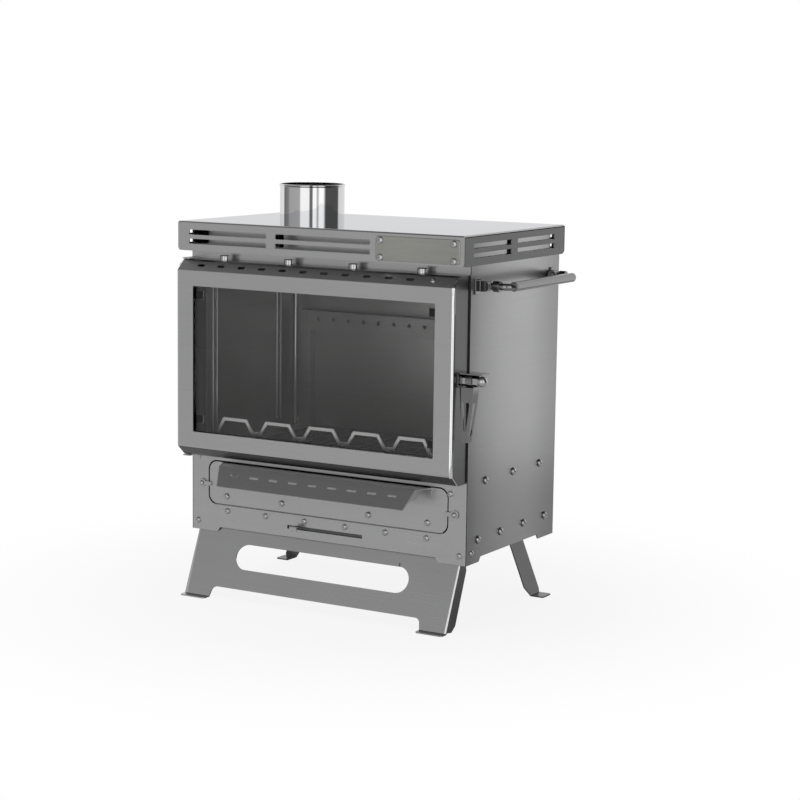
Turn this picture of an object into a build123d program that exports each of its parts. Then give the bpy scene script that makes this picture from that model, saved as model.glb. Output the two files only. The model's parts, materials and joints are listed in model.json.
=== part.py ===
from build123d import *
import os
from math import atan2, cos, hypot, radians, sin, tan

# Tent wood stove of bent stainless sheet.
# Millimetres, +Z up, the door faces -Y.
# The pieces are drawn about the firebox's own middle, with the floor at z = 0.
# The last lines move them all back by SHIFT_Y, so that the origin is under the middle of the whole stove.

# Sheet and running clearances
SHEET = 1.5
GAP = 0.3
FIT = 0.08

# Body shell
BODY_W = 380.0
BODY_D = 220.0
HALF_W = BODY_W / 2
HALF_D = BODY_D / 2
IN_X = HALF_W - SHEET
IN_Y = HALF_D - SHEET
TAB_Z = 75.0
EDGE_Z = 80.5
WALL_TOP = 448.5
SEAM = 12.0
SEAM_LOW = 110.0
SEAM_HIGH = 406.0
VENT_Z0 = 423.0
VENT_Z1 = 441.0
FRONT_VENTS = ((-187, -166), (-75, -59), (59, 75), (166, 187))
SIDE_VENTS = ((-26, -12), (84, 91))

# Screws and bolts: head diameters, head heights and the height of the lowest row
PAN_HEAD = 6.6
PAN_HEIGHT = 2.4
BOLT_HEAD = 9.4
BOLT_HEIGHT = 3.4
ROW_Z = 101.6
BOLT_ROW_Z = 168.0

# Cooktop and its skirts
TOP_Z = 450.0
SKIRT_Z = 415.5
SIDE_LIP = 3.5
FRONT_LIP = 23.6
REAR_LIP = 6.0
TOP_X = HALF_W + SIDE_LIP
TOP_FRONT = -HALF_D - FRONT_LIP
TOP_REAR = HALF_D + REAR_LIP
SLOT_ROWS = (426.6, 437.4)
SLOT_H = 5.9

# Flue collar
FLUE_X = -122.3
FLUE_Y = 49.2
FLUE_OD = 80.0
FLUE_WALL = 1.2
FLUE_TOP = 490.0

# Firebox
ROOF_Z = 410.0
SHELF_Z = 178.0
FIRE_X = 168.0
FIRE_LOW = 192.0
FIRE_HIGH = 386.0
LINER_X = 178.0
LINER_Y = 98.0
LINER_TOP = 392.0
AIR_Z0 = 303.0
AIR_Z1 = 328.0

# Door
DOOR_X = 188.0
DOOR_Z0 = 170.0
DOOR_Z1 = 405.1
FACE_Z0 = 182.0
FACE_Z1 = 393.0
FACE_Y = -144.9
BEVEL_Y = -131.3
DOOR_BACK = -111.0
WINDOW_X = 164.0
WINDOW_Z0 = 201.0
WINDOW_Z1 = 375.0
HINGE_X = -183.7
HINGE_Y = -127.0
HINGE_PIN = 4.0
GLASS = 4.0
GASKET = 2.0

# Door latch
LATCH_Y = -127.0
LATCH_Z = 290.0
SHAFT = 8.0
LATCH_END = 221.0

# Ash drawer
DRAWER_X = 164.5
DRAWER_Z0 = 109.5
DRAWER_Z1 = 161.0
OPEN_X = 166.0
OPEN_Z0 = 108.0
OPEN_Z1 = 162.5
TRAY_X = 158.0
TRAY_BACK = 52.0
TRAY_TOP = 150.0
FLOOR_Z = 107.0
BUTTON_X = 174.4
BUTTON_Z = 133.0

# Bottom air damper
AIR_BOX_X = 128.0
AIR_BOX_Y0 = -96.0
AIR_BOX_Y1 = -54.0
DAMPER_Y = -75.0
DAMPER_Z = 92.7
DAMPER_HOLE = 60.0
DAMPER_PITCH = 160.0
DAMPER_TRAVEL = 80.0
TONGUE_X = -37.5

# Front leg plate: it leans forward from a pivot inside the body
LEAN = 22.0
LEG_X = 181.0
LEG_FOOT_Y = -IN_Y + GAP - TAB_Z * tan(radians(LEAN))
LEG_WEB = 86.0
LEG_FLANGE = 18.0
LEG_PIVOT_Y = -98.0
LEG_PIVOT_Z = 88.0
LEG_PIN = 5.0
FOOT_X = 146.0
TOE = 10.0

# Rear legs: they lean outward
REAR_FOOT_X = 178.0
REAR_Y0 = 71.0
REAR_Y1 = 104.5
REAR_WEB = 88.0
REAR_PIVOT_UP = 91.0
REAR_PIVOT_IN = 5.0
REAR_LIP_D = 10.0
REAR_PIN = 6.0

# Carry handles
HANDLE_Z = 392.0
HANDLE_PIVOT_X = 197.5
HANDLE_FRONT = -86.0
HANDLE_REAR = 80.0
GRIP_X = 226.0
GRIP_D = 11.0
ARM_D = 8.0
HANDLE_PIN = 5.0

# The stove's box runs from the toes of the front legs to the rear skirt
SHIFT_Y = -(LEG_FOOT_Y - TOE + TOP_REAR) / 2


def block(x0, x1, y0, y1, z0, z1):
    """A box between three pairs of coordinates."""
    size = Box(x1 - x0, y1 - y0, z1 - z0)
    return Pos((x0 + x1) / 2, (y0 + y1) / 2, (z0 + z1) / 2) * size


def front_plane(y):
    """Drawing plane at depth y: its own x is X, its own y is Z, and it faces -Y."""
    return Plane(origin=(0, y, 0), x_dir=(1, 0, 0), z_dir=(0, -1, 0))


def side_plane(x):
    """Drawing plane at x: its own x is Y, its own y is Z, and it faces +X."""
    return Plane(origin=(x, 0, 0), x_dir=(0, 1, 0), z_dir=(1, 0, 0))


def outline(points):
    """A closed face through points."""
    return make_face(Polyline(*points, close=True))


def rounded(x0, x1, y0, y1, radius):
    """A rectangle with rounded corners."""
    face = RectangleRounded(x1 - x0, y1 - y0, radius)
    return Pos((x0 + x1) / 2, (y0 + y1) / 2) * face


def rod(start, end, diameter):
    """A round bar between two points."""
    line = Line(start, end)
    return sweep(Plane(origin=start, z_dir=line % 0) * Circle(diameter / 2), path=line)


def bent_sheet(points, thickness):
    """Section of a folded sheet: one side runs through the points, the metal lies to their left."""
    inner = []
    for index, (x, y) in enumerate(points):
        before = points[max(index - 1, 0)]
        after = points[min(index + 1, len(points) - 1)]
        normals = []
        for a, b in ((before, (x, y)), ((x, y), after)):
            length = hypot(b[0] - a[0], b[1] - a[1])
            if length > 0:
                normals.append((-(b[1] - a[1]) / length, (b[0] - a[0]) / length))
        n0 = normals[0]
        n1 = normals[-1]
        scale = thickness / (1 + n0[0] * n1[0] + n0[1] * n1[1])
        inner.append((x + (n0[0] + n1[0]) * scale, y + (n0[1] + n1[1]) * scale))
    return outline(list(points) + inner[::-1])


def mirror_x(shape):
    """The same piece on the other side of the stove."""
    return mirror(shape, about=Plane.YZ)


def together(pieces):
    """Separate solids kept as one sub-part."""
    return Compound([solid for piece in pieces for solid in piece.solids()])


def both_sides(shape):
    """A piece and its mirror image."""
    return together([shape, mirror_x(shape)])


def dome(diameter, height):
    """A round screw head that stands on the XY plane."""
    radius = diameter / 2
    crown = (radius**2 + height**2) / (2 * height)
    ball = Pos(0, 0, height - crown) * Sphere(crown)
    return ball & Pos(0, 0, height) * Box(2 * diameter, 2 * diameter, 2 * height)


def heads_front(places, y, diameter, height):
    """Screw heads on a face that looks forward."""
    head = Rot(90, 0, 0) * dome(diameter, height)
    return [Pos(x, y, z) * head for x, z in places]


def heads_back(places, y, diameter, height):
    """Screw heads on a face that looks back."""
    head = Rot(-90, 0, 0) * dome(diameter, height)
    return [Pos(x, y, z) * head for x, z in places]


def heads_side(places, x, diameter, height):
    """Screw heads on the right wall, and the same on the left."""
    head = Rot(0, 90, 0) * dome(diameter, height)
    right = [Pos(x, y, z) * head for y, z in places]
    return right + [mirror_x(piece) for piece in right]


# Body shell

def wall_face(tab_edges, cuts, half):
    """Outline of a body wall: tabs at its lower corners, a raised edge between, cuts under the cooktop."""
    low, high = tab_edges
    slant = 4.0
    face = outline(
        [
            (-half, TAB_Z),
            (low, TAB_Z),
            (low + slant, EDGE_Z),
            (high - slant, EDGE_Z),
            (high, TAB_Z),
            (half, TAB_Z),
            (half, WALL_TOP),
            (-half, WALL_TOP),
        ]
    )
    for start, end in cuts:
        face -= rounded(start, end, VENT_Z0, VENT_Z1, 2)
    return face


def front_panel():
    face = wall_face((-153.5, 153.5), FRONT_VENTS, HALF_W)
    face -= rounded(-FIRE_X, FIRE_X, FIRE_LOW, FIRE_HIGH, 6)
    face -= rounded(-OPEN_X, OPEN_X, OPEN_Z0, OPEN_Z1, 12)
    face -= rounded(-52, 52, 90.4, 94.8, 1)
    return extrude(front_plane(-IN_Y) * face, amount=SHEET)


def rear_panel():
    face = wall_face((-153.5, 153.5), FRONT_VENTS, HALF_W)
    for index in range(7):
        face -= Pos(-48 + 16 * index, 132) * SlotOverall(10, 5)
    return extrude(front_plane(HALF_D) * face, amount=SHEET)


def right_side_panel():
    face = wall_face((-80, 70), SIDE_VENTS, IN_Y)
    face -= Pos(LEG_PIVOT_Y, LEG_PIVOT_Z) * Circle(LEG_PIN / 2 + FIT)
    wall = extrude(side_plane(IN_X) * face, amount=SHEET)
    for y in (-IN_Y, IN_Y - SHEET):
        wall += block(IN_X - SEAM, IN_X, y, y + SHEET, SEAM_LOW, SEAM_HIGH)
    return wall


def left_side_panel():
    return mirror_x(right_side_panel())


def floor_plate():
    drop = 12.0
    plate = block(-IN_X, IN_X, -IN_Y, IN_Y, FLOOR_Z, FLOOR_Z + SHEET)
    plate += block(-IN_X, IN_X, -IN_Y, -IN_Y + SHEET, FLOOR_Z - drop, FLOOR_Z)
    plate += block(-IN_X, IN_X, IN_Y - SHEET, IN_Y, FLOOR_Z - drop, FLOOR_Z)
    for x in (-IN_X, IN_X - SHEET):
        plate += block(x, x + SHEET, -80, 66, FLOOR_Z - drop, FLOOR_Z)
    opening = extrude(Plane.XY.offset(FLOOR_Z) * rounded(-120, 120, -88, -62, 6), amount=SHEET)
    return plate - opening


def air_box():
    """A shallow pan under the floor opening, with the holes that the damper covers."""
    low = DAMPER_Z + SHEET + GAP
    in_x = AIR_BOX_X - SHEET
    pan = block(-AIR_BOX_X, AIR_BOX_X, AIR_BOX_Y0, AIR_BOX_Y1, low, FLOOR_Z)
    pan -= block(-in_x, in_x, AIR_BOX_Y0 + SHEET, AIR_BOX_Y1 - SHEET, low + SHEET, FLOOR_Z)
    for index in range(2):
        x = -100 + DAMPER_PITCH * index
        hole = Pos(x, DAMPER_Y) * SlotOverall(DAMPER_HOLE, 22)
        pan -= extrude(Plane.XY.offset(low) * hole, amount=SHEET)
    return pan


def damper_guides():
    """Clips under the air box that hold the damper from below."""
    low = DAMPER_Z - GAP - SHEET
    high = DAMPER_Z + SHEET + GAP
    clips = []
    for x0, x1 in ((-62, -48), (56, 84)):
        for y, lip in ((AIR_BOX_Y0, 1), (AIR_BOX_Y1, -1)):
            y0, y1 = sorted((y, y - 5 * lip))
            lip0, lip1 = sorted((y - 5 * lip, y + 4 * lip))
            step = sorted((y - 5 * lip, y - 3.5 * lip))
            clip = block(x0, x1, lip0, lip1, low, low + SHEET)
            clip += block(x0, x1, step[0], step[1], low, high + SHEET)
            clip += block(x0, x1, y0, y1, high, high + SHEET)
            clips.append(clip)
    return together(clips)


def air_damper():
    """Sliding plate with a hole, and the tongue that shows in the front slot."""
    face = rounded(-145, 95, DAMPER_Y - 24, DAMPER_Y + 24, 3)
    face -= Pos(60 - DAMPER_TRAVEL, DAMPER_Y) * SlotOverall(DAMPER_HOLE - 8, 20)
    plate = extrude(Plane.XY.offset(DAMPER_Z) * face, amount=SHEET)
    plate += block(TONGUE_X - 3.5, TONGUE_X + 3.5, -119, -98, DAMPER_Z, DAMPER_Z + SHEET)
    plate += block(TONGUE_X - 5, TONGUE_X + 5, -120.5, -119, DAMPER_Z - 2.5, DAMPER_Z + 3)
    return plate


def seam_screws():
    """Pan-head screws along the walls' lower edges."""
    row = [(x, ROW_Z) for x in (-138, -83, -28, 28, 83, 138)]
    extra = [(168.2, 156.3), (-181, 86), (181, 86)]
    front = heads_front(row + extra, -HALF_D, PAN_HEAD, PAN_HEIGHT)
    back = heads_back(row, HALF_D, PAN_HEAD, PAN_HEIGHT)
    return together(front + back)


def side_bolts():
    upper = [(y, BOLT_ROW_Z) for y in (-68, 0, 68)]
    lower = [(y, ROW_Z) for y in (-84, -29, 29, 84)]
    return together(heads_side(upper + lower, HALF_W, BOLT_HEAD, BOLT_HEIGHT))


# Firebox

def fire_shelf():
    """Firebox floor with side flanges and the hole that carries the grate."""
    edge = IN_Y - SHEET
    shelf = block(-IN_X, IN_X, -edge, edge, SHELF_Z - SHEET, SHELF_Z)
    for x in (-IN_X, IN_X - SHEET):
        shelf += block(x, x + SHEET, -edge, edge, SHELF_Z - 15, SHELF_Z - SHEET)
    shelf -= block(-118, 118, -66, 66, SHELF_Z - SHEET, SHELF_Z)
    return shelf


def fire_grate():
    """Cast grate: a rounded plate with two rows of slots and a rib below each bar."""
    face = rounded(-126, 126, -74, 74, 8)
    for index in range(12):
        x = -99 + 18 * index
        for y in (-33, 33):
            face -= Pos(x, y) * SlotOverall(54, 8, rotation=90)
    plate = extrude(Plane.XY.offset(SHELF_Z) * face, amount=6)
    for y in (-65, -1.5, 62):
        plate += block(-112, 112, y, y + 3, SHELF_Z - 6, SHELF_Z)
    return plate


def firebox_roof():
    edge = IN_Y - SHEET
    roof = block(-IN_X, IN_X, -edge, edge, ROOF_Z - SHEET, ROOF_Z)
    for x in (-IN_X, IN_X - SHEET):
        roof += block(x, x + SHEET, -edge, edge, ROOF_Z - 14, ROOF_Z - SHEET)
    return roof - Pos(FLUE_X, FLUE_Y, ROOF_Z) * Cylinder(FLUE_OD / 2 - FLUE_WALL, 10)


def baffle_plate():
    """Smoke baffle on top of the liners, with its front edge folded up."""
    rise = 6.5
    section = bent_sheet([(LINER_Y + SHEET, LINER_TOP), (-36, LINER_TOP), (-46, LINER_TOP + rise)], -SHEET)
    return extrude(side_plane(-176) * section, amount=352)


def right_liner():
    """Side liner: a sheet with four pressed upright ribs, on a folded foot."""
    thick = 1.2
    wall = block(LINER_X, LINER_X + thick, -100, LINER_Y, SHELF_Z, LINER_TOP)
    for y in (-82, -74, 58, 66):
        rib = Pos(LINER_X, y, (SHELF_Z + LINER_TOP) / 2) * Cylinder(2.2, LINER_TOP - SHELF_Z - 24)
        wall += rib & block(LINER_X - 3, LINER_X + thick, y - 3, y + 3, SHELF_Z, LINER_TOP)
    foot = block(LINER_X + thick, LINER_X + 9, -100, LINER_Y, SHELF_Z, SHELF_Z + thick)
    return wall + foot


def left_liner():
    return mirror_x(right_liner())


def rear_liner():
    thick = 1.2
    wall = block(-LINER_X, LINER_X, LINER_Y, LINER_Y + thick, SHELF_Z, LINER_TOP)
    foot = block(-LINER_X, LINER_X, LINER_Y + thick, IN_Y - SHEET, SHELF_Z, SHELF_Z + thick)
    duct_hole = block(-160, -149, LINER_Y, LINER_Y + thick, SHELF_Z + 8, SHELF_Z + 34)
    return wall + foot - duct_hole


def secondary_air_box():
    """Channel across the rear liner with a row of air jets in its face."""
    box = block(-146.5, 152, 84, LINER_Y, AIR_Z0, AIR_Z1)
    box -= block(-146.5, 150.8, 85.2, LINER_Y, AIR_Z0 + 1.2, AIR_Z1 - 1.2)
    for index in range(13):
        jet = Pos(-132 + 22 * index, 318) * Circle(2.5)
        box -= extrude(front_plane(85.2) * jet, amount=1.2)
    return box


def air_duct():
    """Upright duct that feeds the channel from the rear intake."""
    duct = block(-163, -146.5, 84, LINER_Y, SHELF_Z, AIR_Z1)
    duct -= block(-161.8, -147.7, 85.2, LINER_Y, SHELF_Z, AIR_Z1 - 1.2)
    duct -= block(-147.7, -146.5, 85.2, LINER_Y, AIR_Z0 + 1.2, AIR_Z1 - 1.2)
    return duct


def log_guard():
    """Band cut in five teeth, over a rail that stands on the opening's sill."""
    teeth = 5
    pitch = 60.7
    top = 217.5
    valley = 203.5
    band = 4.0
    half_top = 17.0
    half_foot = 25.5
    reach = 148.0
    points = []
    for index in range(teeth):
        middle = (index - (teeth - 1) / 2) * pitch
        points += [
            (middle - half_foot, valley),
            (middle - half_top, top),
            (middle + half_top, top),
            (middle + half_foot, valley),
        ]
    points[0] = (-reach, 200.0)
    points[-1] = (reach, 200.0)
    face = bent_sheet(points, -band)
    rail_top = valley - band + 0.5
    face += Pos(0, (192 + rail_top - 3.5) / 2) * Rectangle(2 * reach, rail_top - 3.5 - 192)
    for index in range(teeth - 1):
        middle = (index + 1 - teeth / 2) * pitch
        face += Pos(middle, rail_top - 1.5) * Rectangle(6, 6)
    for x in (-reach + 2, reach - 2):
        face += Pos(x, rail_top - 2) * Rectangle(4, 6)
    plate = extrude(front_plane(-115.5) * face, amount=2)
    return plate + block(-reach, reach, -117.5, -HALF_D, 190.5, 192)


# Cooktop and flue

def skirt(half, slots, radius=4.0):
    """Outline of a skirt with two rows of vent slots and rounded free corners."""
    height = TOP_Z - SKIRT_Z
    face = Pos(0, (TOP_Z + SKIRT_Z) / 2) * Rectangle(2 * half, height)
    face = fillet(face.vertices().group_by(Axis.Y)[0], radius)
    for row in SLOT_ROWS:
        for start, end in slots:
            face -= rounded(start, end, row - SLOT_H / 2, row + SLOT_H / 2, 1.2)
    return face


def cooktop():
    top = block(-TOP_X, TOP_X, TOP_FRONT, TOP_REAR, WALL_TOP, TOP_Z)
    front = skirt(TOP_X, [(-177.8, -68.3), (-55.8, 72.3)])
    rear = skirt(TOP_X, [(-177.8, -68.3), (-55.8, 55.8), (68.3, 177.8)])
    top += extrude(front_plane(TOP_FRONT + SHEET) * front, amount=SHEET)
    top += extrude(front_plane(TOP_REAR) * rear, amount=SHEET)
    middle = (TOP_FRONT + TOP_REAR) / 2
    half = (TOP_REAR - TOP_FRONT) / 2 - SHEET - 0.5
    vents = [(-112 - middle, -21 - middle), (-6 - middle, 89 - middle)]
    side = skirt(half, vents)
    for x in (-TOP_X, TOP_X - SHEET):
        top += Pos(0, middle, 0) * extrude(side_plane(x) * side, amount=SHEET)
    return top - Pos(FLUE_X, FLUE_Y, TOP_Z) * Cylinder(FLUE_OD / 2 + 0.1, 10)


def flue_collar():
    """Stove pipe socket: a rolled tube with a small bead at its rim."""
    inner = FLUE_OD / 2 - FLUE_WALL
    outer = FLUE_OD / 2
    section = make_face(
        [
            Line((inner, ROOF_Z), (outer, ROOF_Z)),
            Line((outer, ROOF_Z), (outer, FLUE_TOP - 3)),
            ThreePointArc((outer, FLUE_TOP - 3), (outer + 0.8, FLUE_TOP - 1.5), (outer, FLUE_TOP)),
            Line((outer, FLUE_TOP), (inner, FLUE_TOP)),
            Line((inner, FLUE_TOP), (inner, ROOF_Z)),
        ]
    )
    return Pos(FLUE_X, FLUE_Y, 0) * revolve(Plane.XZ * section, axis=Axis.Z)


def name_plate():
    face = rounded(80, 188, 417.5, 445.5, 4)
    return extrude(front_plane(TOP_FRONT) * face, amount=1.2)


def name_plate_screws():
    places = [(x, z) for x in (86.7, 181.2) for z in (421.5, 440.8)]
    return together(heads_front(places, TOP_FRONT - 1.2, 5.6, 2.0))


# Door

def door_section(inset, back):
    """Side view of the pressed door frame, drawn in by inset."""
    slope = atan2(DOOR_Z1 - FACE_Z1, BEVEL_Y - FACE_Y)
    corner = inset * tan((radians(90) - slope) / 2)
    knee = inset * tan(slope / 2)
    return outline(
        [
            (back, DOOR_Z0 + inset),
            (BEVEL_Y + knee, DOOR_Z0 + inset),
            (FACE_Y + inset, FACE_Z0 + corner),
            (FACE_Y + inset, FACE_Z1 - corner),
            (BEVEL_Y + knee, DOOR_Z1 - inset),
            (back, DOOR_Z1 - inset),
        ]
    )


def door_frame():
    """One pressed sheet: flat face with the window, bevels above and below, returns and side flanges."""
    frame = extrude(side_plane(-DOOR_X) * door_section(0, DOOR_BACK), amount=2 * DOOR_X)
    inner_x = DOOR_X - SHEET
    frame -= extrude(side_plane(-inner_x) * door_section(SHEET, DOOR_BACK + 5), amount=2 * inner_x)
    window = rounded(-WINDOW_X, WINDOW_X, WINDOW_Z0, WINDOW_Z1, 1.5)
    frame -= extrude(front_plane(FACE_Y + 3) * window, amount=6)
    slope = atan2(DOOR_Z1 - FACE_Z1, BEVEL_Y - FACE_Y)
    middle_y = (FACE_Y + BEVEL_Y) / 2
    middle_z = (FACE_Z1 + DOOR_Z1) / 2
    normal = (0, -sin(slope), cos(slope))
    count = 11
    for index in range(count):
        x = -156.7 + 28.5 * index
        plane = Plane(origin=(x, middle_y, middle_z), x_dir=(1, 0, 0), z_dir=normal)
        frame -= extrude(plane * SlotOverall(10, 4), amount=3, both=True)
    hole = Pos(HINGE_X, HINGE_Y, (DOOR_Z0 + DOOR_Z1) / 2) * Cylinder(HINGE_PIN / 2 + FIT, 300)
    frame -= hole
    shaft_hole = Pos(DOOR_X, LATCH_Y, LATCH_Z) * Rot(0, 90, 0) * Cylinder(SHAFT / 2 + FIT, 10)
    return frame - shaft_hole


def door_gasket():
    """Flat rope seal between the door's face and the glass."""
    y = FACE_Y + SHEET
    face = rounded(-175, 175, WINDOW_Z0 - 11, WINDOW_Z1 + 11, 3)
    face -= rounded(-WINDOW_X - 2, WINDOW_X + 2, WINDOW_Z0 - 2, WINDOW_Z1 + 2, 2)
    return extrude(front_plane(y + GASKET) * face, amount=GASKET)


def door_glass():
    y = FACE_Y + SHEET + GASKET
    face = rounded(-175, 175, WINDOW_Z0 - 11, WINDOW_Z1 + 11, 3)
    return extrude(front_plane(y + GLASS) * face, amount=GLASS)


def glass_clips():
    """Four folded clips that press the glass forward."""
    y = FACE_Y + SHEET
    behind = y + GASKET + GLASS
    section = bent_sheet([(185.5, y), (176, y), (176, behind), (153, behind)], -SHEET)
    clips = []
    for z in (216, 364):
        clip = extrude(Plane.XY.offset(z - 5) * section, amount=10)
        clips += [clip, mirror_x(clip)]
    return together(clips)


def door_studs():
    """Four round nuts on the door's top return."""
    stud = Cylinder(5.8, 6.3, align=(Align.CENTER, Align.CENTER, Align.MIN))
    stud = chamfer(stud.edges().group_by(Axis.Z)[-1], 0.8)
    return together([Pos(x, -122, DOOR_Z1) * stud for x in (-134, -44, 44, 134)])


def door_hinges():
    """Two folded brackets on the front panel, each with a pin in the door's return."""
    pieces = []
    for plate, tip, foot in ((DOOR_Z1 + GAP, -6, 1), (DOOR_Z0 - GAP, 6, -1)):
        z0, z1 = sorted((plate, plate + SHEET * foot))
        foot0, foot1 = sorted((plate, plate + 8 * foot))
        bracket = block(-188, -178, -132, -HALF_D, z0, z1)
        bracket += block(-188, -178, -HALF_D - SHEET, -HALF_D, foot0, foot1)
        pin0, pin1 = sorted((plate, plate + tip))
        bracket += Pos(HINGE_X, HINGE_Y, (pin0 + pin1) / 2) * Cylinder(HINGE_PIN / 2, pin1 - pin0)
        pieces.append(bracket)
    return together(pieces)


# Door latch

def hex_nut(x0, x1, across):
    """A hexagon nut along X."""
    nut = Cylinder(across / 2 / cos(radians(30)), x1 - x0)
    nut &= extrude(RegularPolygon(across / 2, 6, major_radius=False), amount=x1 - x0, both=True)
    return Pos((x0 + x1) / 2, LATCH_Y, LATCH_Z) * Rot(0, 90, 0) * nut


def latch_shaft():
    """Turning shaft through the door's flange, with a washer, two nuts and a domed end."""
    def ring(x0, x1, diameter):
        return Pos((x0 + x1) / 2, LATCH_Y, LATCH_Z) * Rot(0, 90, 0) * Cylinder(diameter / 2, x1 - x0)

    shaft = ring(173, 217, SHAFT)
    shaft += ring(DOOR_X + SHEET + GAP, 192, 13.6)
    shaft += hex_nut(192, 197, 11.5)
    shaft += hex_nut(205.5, 212, 11.5)
    cap = Pos(212, LATCH_Y, LATCH_Z) * Rot(0, 90, 0) * dome(10.5, LATCH_END - 212)
    return shaft + cap


def latch_handle():
    """Tapered sheet handle, folded along its front edge and hung from a hub on the shaft."""
    top_z = 283.0
    low_z = 221.0
    front = -134.0

    def angle(z, x0, x1, depth):
        section = bent_sheet([(x0, front), (x1, front), (x1, front + depth)], SHEET)
        return Plane.XY.offset(z) * section

    handle = loft([angle(low_z, 194, 200.6, 11), angle(top_z, 190.5, 208, 15)], ruled=True)
    window = outline([(194.5, 266), (203.5, 266), (199.2, 234), (196.4, 234)])
    handle -= extrude(front_plane(front + 3) * window, amount=6)
    side = outline([(front + 3, 265), (front + 12.5, 265), (front + 9, 228), (front + 3, 228)])
    handle -= extrude(side_plane(198) * side, amount=12)
    handle += block(190.5, 208, front, -121, top_z - SHEET, top_z)
    hub = Pos(201.2, LATCH_Y, LATCH_Z) * Rot(0, 90, 0) * Cylinder(7.2, 8)
    hub -= Pos(201.2, LATCH_Y, LATCH_Z) * Rot(0, 90, 0) * Cylinder(SHAFT / 2 + 0.04, 12)
    return handle + hub


def latch_cover():
    """Folded plate on the door's flange, over the latch nuts."""
    section = bent_sheet([(DOOR_X, 283), (DOOR_X, 299), (219, 299)], -SHEET)
    plate = extrude(front_plane(-118) * section, amount=18)
    hole = Pos(DOOR_X, LATCH_Y, LATCH_Z) * Rot(0, 90, 0) * Cylinder(SHAFT / 2 + FIT, 10)
    return plate - hole


def latch_cam():
    """Hook on the shaft's inner end: its finger stands behind the keeper's pin."""
    face = Pos(LATCH_Y, LATCH_Z) * Circle(7.5)
    hook = [
        (LATCH_Y, 284),
        (-113, 286.5),
        (-113, 298.5),
        (-115.5, 298.5),
        (-116.5, 291.5),
        (LATCH_Y, 292),
    ]
    face += outline(hook)
    face -= Pos(LATCH_Y, LATCH_Z) * Circle(SHAFT / 2 + 0.04)
    return extrude(side_plane(176) * face, amount=4.5)


def latch_keeper():
    """Two ears and a pin on the front panel."""
    keeper = block(171, 185, -HALF_D - SHEET, -HALF_D, 303.5, 317)
    ear = outline([(-HALF_D, 293.5), (-121.5, 293.5), (-121.5, 300), (-HALF_D, 317)])
    for x in (171, 183.5):
        keeper += extrude(side_plane(x) * ear, amount=SHEET)
    pin = Pos(178, -119.2, 296.3) * Rot(0, 90, 0) * Cylinder(1.8, 14)
    return keeper + pin


# Ash drawer

def drawer_front():
    face = rounded(-DRAWER_X, DRAWER_X, DRAWER_Z0, DRAWER_Z1, 11)
    return extrude(front_plane(-IN_Y) * face, amount=SHEET)


def ash_tray():
    """Open box behind the drawer front, with a folded rim."""
    low = FLOOR_Z + SHEET + GAP
    wall = 1.2
    tray = block(-TRAY_X, TRAY_X, -IN_Y, TRAY_BACK, low, TRAY_TOP)
    tray -= block(-TRAY_X + wall, TRAY_X - wall, -IN_Y + wall, TRAY_BACK - wall, low + wall, TRAY_TOP)
    return tray


def drawer_hood():
    """Folded awning that is the drawer's handle: flange, shelf, slotted slope, cut-back ends, gussets."""
    half = 144.0
    half_low = 126.5
    knee_y = -132.3
    knee_z = 160.3
    rim_y = -148.0
    rim_z = 139.3
    section = bent_sheet([(-HALF_D, 150), (-HALF_D, 161), (knee_y, knee_z), (rim_y, rim_z)], SHEET)
    hood = extrude(side_plane(-half) * section, amount=2 * half)
    for side in (-1, 1):
        start = -HALF_D - 2
        beyond = side * (half + 16)
        ends = outline([(side * half, start), (side * half_low, -150), (beyond, -150), (beyond, start)])
        hood -= extrude(Plane.XY.offset(130) * ends, amount=40)
    slope = atan2(knee_z - rim_z, knee_y - rim_y)
    normal = (0, -sin(slope), cos(slope))
    for index in range(9):
        place = Plane(origin=(-108 + 27 * index, -138.6, 151.9), x_dir=(1, 0, 0), z_dir=normal)
        hood -= extrude(place * SlotOverall(13, 3), amount=4, both=True)
    gusset = outline([(-HALF_D, 159.5), (-131.5, 158.9), (-142, 144.9), (-139, 142.9), (-HALF_D, 146)])
    for x in (-124, -114, 112.5, 122.5):
        hood += extrude(side_plane(x) * gusset, amount=SHEET)
    return hood


def drawer_screws():
    places = [(x, 119.6) for x in (-139, -60, 60, 139)]
    return together(heads_front(places, -HALF_D, PAN_HEAD, PAN_HEIGHT))


def drawer_runners():
    """Two angles on the floor that guide the tray."""
    low = FLOOR_Z + SHEET
    section = bent_sheet([(TRAY_X + 0.5, low + 12), (TRAY_X + 0.5, low), (TRAY_X + 11, low)], SHEET)
    runner = extrude(front_plane(70) * section, amount=160)
    return both_sides(runner)


def right_turn_button():
    """Small turn button: a disc with a finger over the drawer's edge."""
    y = -HALF_D - GAP
    face = Pos(BUTTON_X, BUTTON_Z) * Circle(5)
    face += rounded(161, BUTTON_X, BUTTON_Z - 2.6, BUTTON_Z + 2.6, 2.4)
    face -= Pos(BUTTON_X, BUTTON_Z) * Circle(1.5 + FIT)
    return extrude(front_plane(y) * face, amount=2.2)


def left_turn_button():
    return mirror_x(right_turn_button())


def button_screws():
    """The screws that the two turn buttons turn on."""
    shank = Pos(BUTTON_X, -HALF_D - 1.4, BUTTON_Z) * Rot(90, 0, 0) * Cylinder(1.5, 2.8)
    head = Pos(BUTTON_X, -HALF_D - 2.8, BUTTON_Z) * Rot(90, 0, 0) * dome(6.4, 2.2)
    return both_sides(shank + head)


# Legs

def lean_plane(origin, along, outward, degrees_out):
    """Drawing plane of a leaning leg: x runs along the body, y runs up the leg, z points out of it."""
    angle = radians(degrees_out)
    normal = Vector(*outward) * cos(angle) + Vector(0, 0, sin(angle))
    return Plane(origin=origin, x_dir=along, z_dir=normal)


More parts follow.
